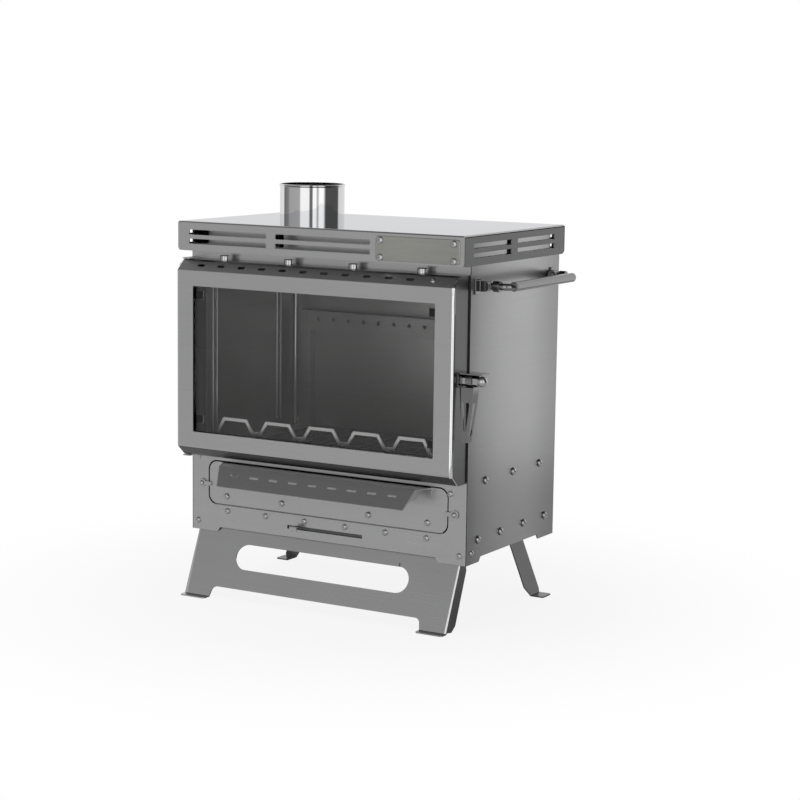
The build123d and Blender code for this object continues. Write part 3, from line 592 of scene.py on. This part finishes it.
# Each metal's grain, its tone among the stove's colours and its roughness
METALS = {
    "brushed_steel": WALL_GRAIN | {"tone": "brushed", "roughness": 0.28},
    "side_steel": WALL_GRAIN | {"tone": "brushed", "roughness": 0.28, "painted_bands": SIDE_PAINTED_SHEEN},
    # Painted shade along the front panel's corner folds
    "seam_steel": WALL_GRAIN | {"tone": "seam", "roughness": 0.40},
    # Painted shade: the darker copy of the walls' steel
    "skirt_steel": WALL_GRAIN | {"tone": "skirt", "roughness": 0.26},
    "guard_steel": WALL_GRAIN | {"tone": "chrome", "roughness": 0.30, "smudge": 0.15},
    "bead_steel": WALL_GRAIN | {"tone": "bead", "roughness": 0.34, "grain": 0.10},
    "firebox_steel": HEATED_GRAIN | {"tone": "firebox", "roughness": 0.36},
    "rear_liner_steel": REAR_GRAIN | {"tone": "firebox", "roughness": 0.36, "painted_bands": REAR_PAINTED_GLOW},
    "polished_steel": POLISH_GRAIN | {"tone": "polished", "roughness": 0.10},
    # Painted highlight on the door's and the front leg's folds
    "fold_steel": POLISH_GRAIN | {"tone": "fold", "roughness": 0.12},
    "handle_steel": HANDLE_GRAIN | {"tone": "handle", "roughness": 0.08},
    "collar_steel": COLLAR_GRAIN | {"tone": "chrome", "roughness": 0.05},
    "mirror_steel": MIRROR_GRAIN | {"tone": "mirror", "roughness": 0.02},
    "plate_steel": NAME_PLATE_GRAIN | {"tone": "plate", "roughness": 0.24},
}


def brushed_group():
    """Fine lines along the sheet and broad soft smudges."""
    name = "Brushed grain"
    roughness_share = 0.8
    if name in bpy.data.node_groups:
        return bpy.data.node_groups[name]
    tree = bpy.data.node_groups.new(name, "ShaderNodeTree")
    sockets = (
        ("INPUT", "Colour", "Color"),
        ("INPUT", "Roughness", "Float"),
        ("INPUT", "Line scale", "Vector"),
        ("INPUT", "Grain", "Float"),
        ("INPUT", "Smudge", "Float"),
        ("OUTPUT", "Colour", "Color"),
        ("OUTPUT", "Roughness", "Float"),
        ("OUTPUT", "Height", "Float"),
    )
    for way, title, kind in sockets:
        tree.interface.new_socket(name=title, in_out=way, socket_type=f"NodeSocket{kind}")
    given = tree.nodes.new("NodeGroupInput").outputs
    place = object_place(tree)
    stretched = add_node(tree, "VectorMath", {0: place, 1: given["Line scale"]}, operation="MULTIPLY")
    lines = noise(tree, stretched.outputs[0], scale=1.0, detail=3.0, Roughness=0.6)
    clouds = noise(tree, place, scale=7.0, detail=2.0)
    grain = math_node(tree, "MULTIPLY", math_node(tree, "SUBTRACT", lines, 0.5), given["Grain"])
    smudge = math_node(tree, "MULTIPLY", math_node(tree, "SUBTRACT", clouds, 0.5), given["Smudge"])
    change = math_node(tree, "ADD", grain, smudge)
    brightness = math_node(tree, "ADD", change, 1.0)
    tint = add_node(tree, "VectorMath", operation="SCALE")
    feed(tree, tint, {0: given["Colour"], "Scale": brightness})
    smoother = math_node(tree, "MULTIPLY", change, roughness_share)
    factor = math_node(tree, "SUBTRACT", 1.0, smoother)
    roughness = math_node(tree, "MULTIPLY", factor, given["Roughness"])
    result = tree.nodes.new("NodeGroupOutput")
    feed(tree, result, {"Colour": tint.outputs[0], "Roughness": roughness, "Height": lines})
    return tree


def painted_light_bands(tree, colour, axis, stops):
    """A colour painted lighter and darker along X or Y as painted light, from pairs of a place in metres
    and a share of the colour.
    """
    start, end = stops[0][0], stops[-1][0]
    apart = add_node(tree, "SeparateXYZ", {0: object_place(tree)})
    along = add_node(tree, "MapRange", {"Value": apart.outputs[axis], "From Min": start, "From Max": end})
    shades = [((place - start) / (end - start), shade(colour, share)) for place, share in stops]
    return ramp(tree, along.outputs["Result"], shades, "B_SPLINE")


def steel(name, tone, roughness, lines, grain, smudge, relief, painted_bands=None):
    """A metal finish of brushed lines and smudges, with soft upright bands of painted light where they are
    given.
    """
    material, shader, tree = new_material(name)
    colour = getattr(colours(), tone)
    inputs = {
        "Colour": painted_light_bands(tree, colour, *painted_bands) if painted_bands else (*colour, 1),
        "Roughness": roughness,
        "Line scale": lines,
        "Grain": grain,
        "Smudge": smudge,
    }
    grained = add_node(tree, "Group", node_tree=brushed_group())
    feed(tree, grained, inputs)
    surface = {
        "Metallic": 1.0,
        "Base Color": grained.outputs["Colour"],
        "Roughness": grained.outputs["Roughness"],
        "Normal": bump(tree, grained.outputs["Height"], strength=relief, distance=0.0002),
    }
    feed(tree, shader, surface)
    return material


def glass_finish(name):
    """Clear ceramic glass with a faint warm-grey tint."""
    material, shader, tree = new_material(name)
    haze = noise(tree, object_place(tree), scale=9.0, detail=3.0)
    surface = {
        "Transmission Weight": 1.0,
        "IOR": 1.5,
        "Roughness": between(tree, haze, low=0.0, high=0.004),
        "Base Color": ramp(tree, haze, ((0, colours().glass_haze), (1, colours().glass))),
    }
    feed(tree, shader, surface)
    return material


def cast_finish(name):
    """Dark cast iron with a sandy skin."""
    material, shader, tree = new_material(name)
    sand = noise(tree, object_place(tree), scale=900.0, detail=4.0)
    iron = colours().grate
    surface = {
        "Metallic": 0.6,
        "Base Color": ramp(tree, sand, ((0, shade(iron, 0.6)), (1, shade(iron, 1.6)))),
        "Roughness": between(tree, sand, low=0.5, high=0.75),
        "Normal": bump(tree, sand, strength=0.5, distance=0.0004),
    }
    feed(tree, shader, surface)
    return material


def seal_finish(name):
    """Woven glass rope, flattened between the frame and the glass."""
    material, shader, tree = new_material(name)
    strands = {"Vector": object_place(tree), "Scale": 1 / sizes().rope, "Distortion": 1.5}
    weave = add_node(tree, "TexWave", strands, bands_direction="DIAGONAL").outputs["Fac"]
    rope = colours().seal
    surface = {
        "Roughness": 0.9,
        "Base Color": ramp(tree, weave, ((0, shade(rope, 0.5)), (1, rope))),
        "Normal": bump(tree, weave, strength=0.6, distance=0.0005),
    }
    feed(tree, shader, surface)
    return material


def finish(name):
    """The material of this name, made when it is first asked for."""
    made = bpy.data.materials.get(f"stove_{name}")
    if made:
        return made
    if name in METALS:
        return steel(name, **METALS[name])
    others = {"cast_grate": cast_finish, "seal_rope": seal_finish, "window_glass": glass_finish}
    return others[name](name)


# Pieces


class STOVE_OT_body_shell(bpy.types.Operator):
    """Front, rear and side panels with their rounded edges"""

    bl_idname = "stove.body_shell"
    bl_label = "Body shell"

    def execute(self, context):
        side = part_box("front_panel")[1].x
        shortest = 0.1

        def upright_edge(first, second):
            """The body's four corner edges."""
            at_corner = near(abs(first.x), side) and near(first.x, second.x)
            return at_corner and abs(first.z - second.z) > shortest

        walls = finish("brushed_steel")
        # The front panel's corner folds get painted shade, a dark line where it meets the side walls
        dressed("front_panel", walls, folds=(sizes().corner_fold, upright_edge, finish("seam_steel")))
        dressed("rear_panel", walls, folds=(sizes().corner_fold, upright_edge, walls))
        # The side walls get painted reflection: upright bands, darker near the front and the rear
        for node in ("left_side_panel", "right_side_panel"):
            dressed(node, finish("side_steel"))
        return {"FINISHED"}


class STOVE_OT_base(bpy.types.Operator):
    """Floor plate, air box and the sliding damper under it"""

    bl_idname = "stove.base"
    bl_label = "Floor and air damper"

    def execute(self, context):
        for node in ("floor_plate", "air_box", "damper_guides"):
            dressed(node, finish("brushed_steel"))
        dressed("air_damper", finish("polished_steel"))
        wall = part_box("front_panel")[1].y
        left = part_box("air_damper")[0].x + 0.006
        right = 0.060
        foot, top = 0.0901, 0.0944
        clearance = 0.0006
        thickness = 0.0012
        lip_depth = 0.0075
        start = Vector((left, wall + clearance, foot))
        end = Vector((right, wall + clearance + thickness, top))
        lip = folded_strip("damper_lip", start, end, lip_depth)
        # The lip gets the painted-shade steel, which stands in for the shade inside the slot
        added(lip, finish("skirt_steel"), "damper")
        return {"FINISHED"}


class STOVE_OT_firebox(bpy.types.Operator):
    """Shelf, grate, roof, baffle, liners and the secondary air channel"""

    bl_idname = "stove.firebox"
    bl_label = "Firebox"

    def execute(self, context):
        sheets = (
            "fire_shelf",
            "firebox_roof",
            "baffle_plate",
            "left_liner",
            "right_liner",
            "secondary_air_box",
            "air_duct",
        )
        for node in sheets:
            dressed(node, finish("firebox_steel"))
        # The rear liner gets painted light, brighter towards its right end
        dressed("rear_liner", finish("rear_liner_steel"))
        dressed("fire_grate", finish("cast_grate"), sizes().bar_edge)
        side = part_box("left_liner")[1].x
        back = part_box("rear_liner")[0].y
        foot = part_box("fire_shelf")[1].z
        bead_radius = 0.0019
        bead_foot, bead_top = foot + 0.001, 0.386
        bead_side = side + bead_radius * 0.4
        start = Vector((bead_side, back - bead_radius, bead_foot))
        end = Vector((bead_side, back - bead_radius, bead_top))
        bead = bar("liner_corner_bead", start, end, bead_radius)
        added(bead, finish("bead_steel"), "root")
        clip_radius = 0.0042
        clip_length = 0.011
        start = Vector((side + 0.007, back - 0.0045, foot + 0.0075))
        end = start + Vector((clip_length, 0, 0))
        clip = bar("liner_corner_clip", start, end, clip_radius)
        added(clip, finish("guard_steel"), "root")
        return {"FINISHED"}


class STOVE_OT_log_guard(bpy.types.Operator):
    """Toothed band that keeps the logs off the glass"""

    bl_idname = "stove.log_guard"
    bl_label = "Log guard"

    def execute(self, context):
        dressed("log_guard", finish("guard_steel"))
        return {"FINISHED"}


class STOVE_OT_cooktop(bpy.types.Operator):
    """Cooktop plate with its slotted skirts"""

    bl_idname = "stove.cooktop"
    bl_label = "Cooktop"

    def execute(self, context):
        low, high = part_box("cooktop")
        skirt_depth = 0.003

        def rim(point):
            """Whether a point is on a side edge, and whether it is on the front or rear edge."""
            on_side = near(abs(point.x), high.x)
            on_end = near(point.y, low.y) or near(point.y, high.y)
            return on_side, on_end

        def top_edge(first, second):
            """The four outer edges of the plate itself."""
            sides = zip(rim(first), rim(second))
            return near(first.z, high.z) and near(second.z, high.z) and any(all(pair) for pair in sides)

        def shaded_side_skirt(centre, normal):
            """The left and right skirts' outer and inner faces, which get painted shade."""
            return abs(normal.x) > FACING and abs(centre.x) > high.x - skirt_depth

        skirt = finish("brushed_steel")
        piece = dressed("cooktop", skirt, folds=(sizes().cooktop_fold, top_edge, skirt))
        refinish(piece, finish("mirror_steel"), facing(UP, EXACTLY))
        # The side skirts get painted shade
        refinish(piece, finish("skirt_steel"), shaded_side_skirt)
        return {"FINISHED"}


class STOVE_OT_flue_collar(bpy.types.Operator):
    """Polished tube that takes the stove pipe"""

    bl_idname = "stove.flue_collar"
    bl_label = "Flue collar"

    def execute(self, context):
        dressed("flue_collar", finish("collar_steel"))
        return {"FINISHED"}


class STOVE_OT_name_plate(bpy.types.Operator):
    """Bare plate on the front skirt"""

    bl_idname = "stove.name_plate"
    bl_label = "Name plate"

    def execute(self, context):
        dressed("name_plate", finish("plate_steel"), sizes().plate_edge, segments=3)
        return {"FINISHED"}


class STOVE_OT_door(bpy.types.Operator):
    """Door frame, window glass, seal, clips, studs and hinges"""

    bl_idname = "stove.door"
    bl_label = "Door"

    def execute(self, context):
        low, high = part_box("door_frame")
        rear = high.y - 0.001
        bevel_top = low.z + 0.02
        forward = 0.4
        down_for_forward = 0.6
        slightly_sideways = 0.15

        def highlighted_outer_fold(first, second):
            """The face's upright sides and the folds of the bevels above and below it, which get a painted
            highlight.
            """
            wide = near(abs(first.x), high.x) and near(abs(second.x), high.x)
            return wide and max(first.y, second.y) < rear

        def shaded_lower_bevel(centre, normal):
            """The bevel under the window, which looks forward and steeply down, and gets painted shade."""
            return centre.z < bevel_top and normal.y < -forward and normal.z < normal.y * down_for_forward

        def looks_ahead(centre, normal):
            """All faces but the sides and their folds."""
            return abs(normal.x) < slightly_sideways

        walls = finish("brushed_steel")
        # The outer folds get a painted highlight
        piece = dressed("door_frame", walls, folds=(sizes().door_fold, highlighted_outer_fold, finish("fold_steel")))
        refinish(piece, walls, looks_ahead)
        # Painted shade on the lower bevel and on the faces that look sideways
        refinish(piece, finish("skirt_steel"), shaded_lower_bevel)
        refinish(piece, finish("skirt_steel"), looks_sideways)
        dressed("glass_clips", finish("firebox_steel"))
        dressed("door_studs", finish("polished_steel"), angle=ROUND_ANGLE)
        self.bevel_screw(low, high)
        self.shade_seals(low, high)
        dressed("door_hinges", walls, sizes().bar_edge)
        dressed("door_gasket", finish("seal_rope"))
        dressed("door_glass", finish("window_glass"))
        return {"FINISHED"}

    def bevel_screw(self, low, high):
        """One small screw in the middle of the top bevel's height, near the latch."""
        across = 0.1568
        rise, depth = 0.0121, 0.0136
        slope = Vector((0, -rise, depth)).normalized()
        place = Vector((across, low.y + depth / 2, high.z - rise / 2))
        screw = copies(screw_head(radius=0.0026, height=0.0018), [(place, slope)], "door_bevel_screw")
        added(screw, finish("polished_steel"), "door")

    def shade_seals(self, low, high):
        """Dark seal strips that close the gap between the frame's sides and the front panel; they also
        stand in for the shadow in that gap, as painted shade.
        """
        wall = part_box("front_panel")[0].y
        inner, outer = 0.1862, 0.1893
        clearance = 0.00005
        margin = 0.002
        for side, start, end in (("left", -outer, -inner), ("right", inner, outer)):
            first = Vector((start, high.y + clearance, low.z + margin))
            last = Vector((end, wall - clearance, high.z - margin))
            seal = cushion_strip(f"door_seal_{side}", first, last)
            added(seal, finish("seal_rope"), "root")


class STOVE_OT_latch(bpy.types.Operator):
    """Latch shaft, handle, cover, cam and keeper"""

    bl_idname = "stove.latch"
    bl_label = "Door latch"

    def execute(self, context):
        dressed("latch_shaft", finish("polished_steel"), angle=ROUND_ANGLE)
        for node in ("latch_handle", "latch_cover"):
            dressed(node, finish("handle_steel"))
        for node in ("latch_cam", "latch_keeper"):
            dressed(node, finish("polished_steel"))
        return {"FINISHED"}


class STOVE_OT_ash_drawer(bpy.types.Operator):
    """Drawer front, tray, hood handle and runners"""

    bl_idname = "stove.ash_drawer"
    bl_label = "Ash drawer"

    def execute(self, context):
        for node in ("drawer_front", "drawer_hood", "ash_tray", "drawer_runners"):
            dressed(node, finish("brushed_steel"))
        return {"FINISHED"}


class STOVE_OT_turn_buttons(bpy.types.Operator):
    """Two turn buttons that hold the drawer shut"""

    bl_idname = "stove.turn_buttons"
    bl_label = "Turn buttons"

    def execute(self, context):
        for node in ("left_turn_button", "right_turn_button", "button_screws"):
            dressed(node, finish("polished_steel"))
        return {"FINISHED"}


class STOVE_OT_screws(bpy.types.Operator):
    """Screws and bolts of the walls, drawer and name plate"""

    bl_idname = "stove.screws"
    bl_label = "Screws"

    def execute(self, context):
        screws("seam_screws", radius=0.0036, height=0.0030)
        screws("drawer_screws", radius=0.0038, height=0.0032)
        screws("name_plate_screws", radius=0.0041, height=0.0034)
        screws("side_bolts", radius=0.0040, height=0.0034, washer=sizes().washer)
        return {"FINISHED"}


class STOVE_OT_legs(bpy.types.Operator):
    """Front leg plate, rear legs, their bolts and hinges"""

    bl_idname = "stove.legs"
    bl_label = "Legs"

    def execute(self, context):
        low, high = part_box("front_leg_plate")
        toe = 0.010
        lean = radians(22)
        on_plate = 0.0002

        def highlighted_flange_fold(first, second):
            """The upright folds between the leaning plate and its side flanges, which get a painted
            highlight.
            """
            if not (near(abs(first.x), high.x) and near(first.x, second.x)):
                return False
            beside = (point.y - low.y - toe - point.z * tan(lean) for point in (first, second))
            return all(abs(distance) < on_plate for distance in beside)

        folds = (sizes().leg_fold, highlighted_flange_fold, finish("fold_steel"))
        piece = dressed("front_leg_plate", finish("brushed_steel"), folds=folds)
        # The flanges that look sideways, the rear legs and their hinges get painted shade
        refinish(piece, finish("skirt_steel"), looks_sideways)
        for node in ("rear_left_leg", "rear_right_leg", "rear_leg_hinges"):
            dressed(node, finish("skirt_steel"))
        dressed("leg_bolts", finish("polished_steel"), angle=ROUND_ANGLE)
        return {"FINISHED"}


class STOVE_OT_carry_handles(bpy.types.Operator):
    """Folding carry handles and their wall brackets"""

    bl_idname = "stove.carry_handles"
    bl_label = "Carry handles"

    def execute(self, context):
        for node in ("left_carry_handle", "right_carry_handle", "handle_brackets"):
            dressed(node, finish("handle_steel"), sizes().bar_edge, angle=ROUND_ANGLE)
        return {"FINISHED"}


# Studio

# Brightness of the studio that the metal mirrors, by height from the ground (0) to straight above (1)
SKY = ((0.62, 0.75), (0.86, 0.34), (0.93, 0.13), (1.0, 0.04))

# Its brightness by direction, in degrees from +X towards +Y
PANELS = (
    (-180, 0.62),
    (-174, 0.12),
    (-156, 0.16),
    (-142, 0.29),
    (-104, 0.31),
    (-98, 0.78),
    (-70, 0.78),
    (-65, 0.12),
    (-58, 0.12),
    (-54, 0.85),
    (-45, 0.85),
    (-40, 0.4),
    (-36, 0.4),
    (-33, 0.85),
    (-19, 0.85),
    (-8, 0.06),
    (44, 0.06),
    (54, 0.56),
    (92, 0.56),
    (106, 0.53),
    (140, 0.53),
    (180, 0.62),
)


def grey_ramp(tree, value, stops):
    """A soft ramp through greys, from pairs of a place between 0 and 1 and a brightness."""
    greys = [(place, (level, level, level)) for place, level in stops]
    return ramp(tree, value, greys, "EASE")


def mirrored_studio(tree):
    """The colour of the walls and panels that the metal mirrors."""
    way = add_node(tree, "TexCoord").outputs["Generated"]
    apart = add_node(tree, "SeparateXYZ", {0: way}).outputs
    # Height and turn both run from 0 to 1
    height = math_node(tree, "MULTIPLY_ADD", apart["Z"], 0.5, 0.5)
    angle = math_node(tree, "ARCTAN2", apart["Y"], apart["X"])
    turn = math_node(tree, "MULTIPLY_ADD", angle, 0.5 / pi, 0.5)
    turned_panels = [((degrees + 180) / 360, level) for degrees, level in PANELS]
    layers = {"Factor": 1.0, "A": grey_ramp(tree, height, SKY), "B": grey_ramp(tree, turn, turned_panels)}
    return add_node(tree, "Mix", layers, data_type="RGBA", blend_type="MULTIPLY").outputs["Result"]


def studio_world():
    """White to the camera and through the glass; the metal sees grey walls with dark and bright panels."""
    world = bpy.data.worlds.new("Studio")
    bpy.context.scene.world = world
    world.use_nodes = True
    tree = world.node_tree
    tree.nodes.clear()
    seen_walls = {"Color": mirrored_studio(tree), "Strength": studio().horizon}
    walls = add_node(tree, "Background", seen_walls)
    white = add_node(tree, "Background", {"Color": (1, 1, 1, 1)})
    path = add_node(tree, "LightPath").outputs
    direct = math_node(tree, "LESS_THAN", path["Glossy Depth"], 0.5)
    through_glass = math_node(tree, "MULTIPLY", path["Is Transmission Ray"], direct)
    plain = math_node(tree, "MAXIMUM", path["Is Camera Ray"], through_glass)
    mixed = add_node(tree, "MixShader", {"Fac": plain, 1: walls.outputs[0], 2: white.outputs[0]})
    add_node(tree, "OutputWorld", {"Surface": mixed.outputs[0]})


def floor_finish():
    """Pale matt floor with the stove's shadow that turns plain white further out."""
    shadow_white = 0.88
    mirrored_white = 0.12
    material, shader, tree = new_material("studio_floor")
    feed(tree, shader, {"Base Color": (*colours().floor, 1), "Roughness": 0.8})
    from_middle = add_node(tree, "VectorMath", {0: object_place(tree)}, operation="LENGTH")
    reach = {
        "Value": from_middle.outputs["Value"],
        "From Min": studio().fade_start,
        "From Max": studio().fade_end,
        "To Min": shadow_white,
    }
    fade = add_node(tree, "MapRange", reach, interpolation_type="SMOOTHSTEP").outputs["Result"]
    path = add_node(tree, "LightPath").outputs
    mirrored = math_node(tree, "MULTIPLY", path["Is Glossy Ray"], mirrored_white)
    seen = math_node(tree, "MAXIMUM", path["Is Camera Ray"], mirrored)
    seen = math_node(tree, "MAXIMUM", seen, path["Is Transmission Ray"])
    amount = math_node(tree, "MULTIPLY", fade, seen)
    white = add_node(tree, "Emission")
    mixed = add_node(tree, "MixShader", {"Fac": amount, 1: shader.outputs[0], 2: white.outputs[0]})
    feed(tree, tree.nodes["Material Output"], {"Surface": mixed.outputs[0]})
    return material


def photo_camera():
    """The camera at the photograph's place and angle."""
    place = Vector((1.309557, -2.165243, 0.615492))
    heading = radians(30.2715)
    tilt = radians(8.4836)
    roll = radians(0.78)
    right = Vector((cos(heading), sin(heading), 0))
    forward = Vector((-sin(heading) * cos(tilt), cos(heading) * cos(tilt), -sin(tilt)))
    up = right.cross(forward)
    across = right * cos(roll) + up * sin(roll)
    upward = up * cos(roll) - right * sin(roll)
    data = bpy.data.cameras.new("Camera")
    data.lens = studio().lens
    camera = bpy.data.objects.new("Camera", data)
    bpy.context.scene.collection.objects.link(camera)
    turn = Matrix((across, upward, -forward)).transposed().to_4x4()
    camera.matrix_world = Matrix.Translation(place) @ turn
    bpy.context.scene.camera = camera


def studio_floor():
    """A round floor just under the feet."""
    drop = 0.0002
    radius = studio().floor_radius
    bpy.ops.mesh.primitive_circle_add(vertices=96, radius=radius, fill_type="NGON", location=(0, 0, -drop))
    floor = bpy.context.active_object
    floor.name = "studio_floor"
    floor.data.materials.append(floor_finish())


def overhead_light():
    """A wide round light above the front left corner that the metal doesn't mirror."""
    light = bpy.data.lights.new("Overhead", "AREA")
    light.shape = "DISK"
    light.size = 2.6
    light.energy = studio().key
    lamp = bpy.data.objects.new("Overhead", light)
    lamp.location = (-0.35, -0.5, 2.6)
    lamp.rotation_euler = (radians(-11), radians(-8), 0)
    lamp.visible_glossy = False
    bpy.context.scene.collection.objects.link(lamp)


class STOVE_OT_studio(bpy.types.Operator):
    """Pale round floor, soft light and the camera"""

    bl_idname = "stove.studio"
    bl_label = "Studio"

    def execute(self, context):
        studio_world()
        studio_floor()
        overhead_light()
        photo_camera()
        context.scene.view_settings.view_transform = "Standard"
        return {"FINISHED"}


MAKING_ORDER = (
    STOVE_OT_body_shell,
    STOVE_OT_base,
    STOVE_OT_firebox,
    STOVE_OT_log_guard,
    STOVE_OT_cooktop,
    STOVE_OT_flue_collar,
    STOVE_OT_name_plate,
    STOVE_OT_door,
    STOVE_OT_latch,
    STOVE_OT_ash_drawer,
    STOVE_OT_turn_buttons,
    STOVE_OT_screws,
    STOVE_OT_legs,
    STOVE_OT_carry_handles,
    STOVE_OT_studio,
)


class STOVE_PT_sidebar(bpy.types.Panel):
    """Lists the stove's sizes, colours and pieces"""

    bl_idname = "STOVE_PT_sidebar"
    bl_label = "Tent wood stove"
    bl_space_type = "VIEW_3D"
    bl_region_type = "UI"
    bl_category = "Stove"

    def draw(self, context):
        for group in (sizes(), colours(), studio()):
            box = self.layout.box()
            for key in group.bl_rna.properties.keys():
                if key not in ("rna_type", "name"):
                    box.prop(group, key)
        for operator in MAKING_ORDER:
            self.layout.operator(operator.bl_idname)


CLASSES = (StoveSizes, StoveColours, StoveStudio) + MAKING_ORDER + (STOVE_PT_sidebar,)


def register():
    for cls in CLASSES:
        bpy.utils.register_class(cls)
    bpy.types.Scene.stove_sizes = PointerProperty(type=StoveSizes)
    bpy.types.Scene.stove_colours = PointerProperty(type=StoveColours)
    bpy.types.Scene.stove_studio = PointerProperty(type=StoveStudio)


def unregister():
    del bpy.types.Scene.stove_studio
    del bpy.types.Scene.stove_colours
    del bpy.types.Scene.stove_sizes
    for cls in reversed(CLASSES):
        bpy.utils.unregister_class(cls)


def main():
    """Makes every piece and the studio."""
    register()
    bpy.ops.stove.body_shell()
    bpy.ops.stove.base()
    bpy.ops.stove.firebox()
    bpy.ops.stove.log_guard()
    bpy.ops.stove.cooktop()
    bpy.ops.stove.flue_collar()
    bpy.ops.stove.name_plate()
    bpy.ops.stove.door()
    bpy.ops.stove.latch()
    bpy.ops.stove.ash_drawer()
    bpy.ops.stove.turn_buttons()
    bpy.ops.stove.screws()
    bpy.ops.stove.legs()
    bpy.ops.stove.carry_handles()
    bpy.ops.stove.studio()


if __name__ == "__main__":
    main()
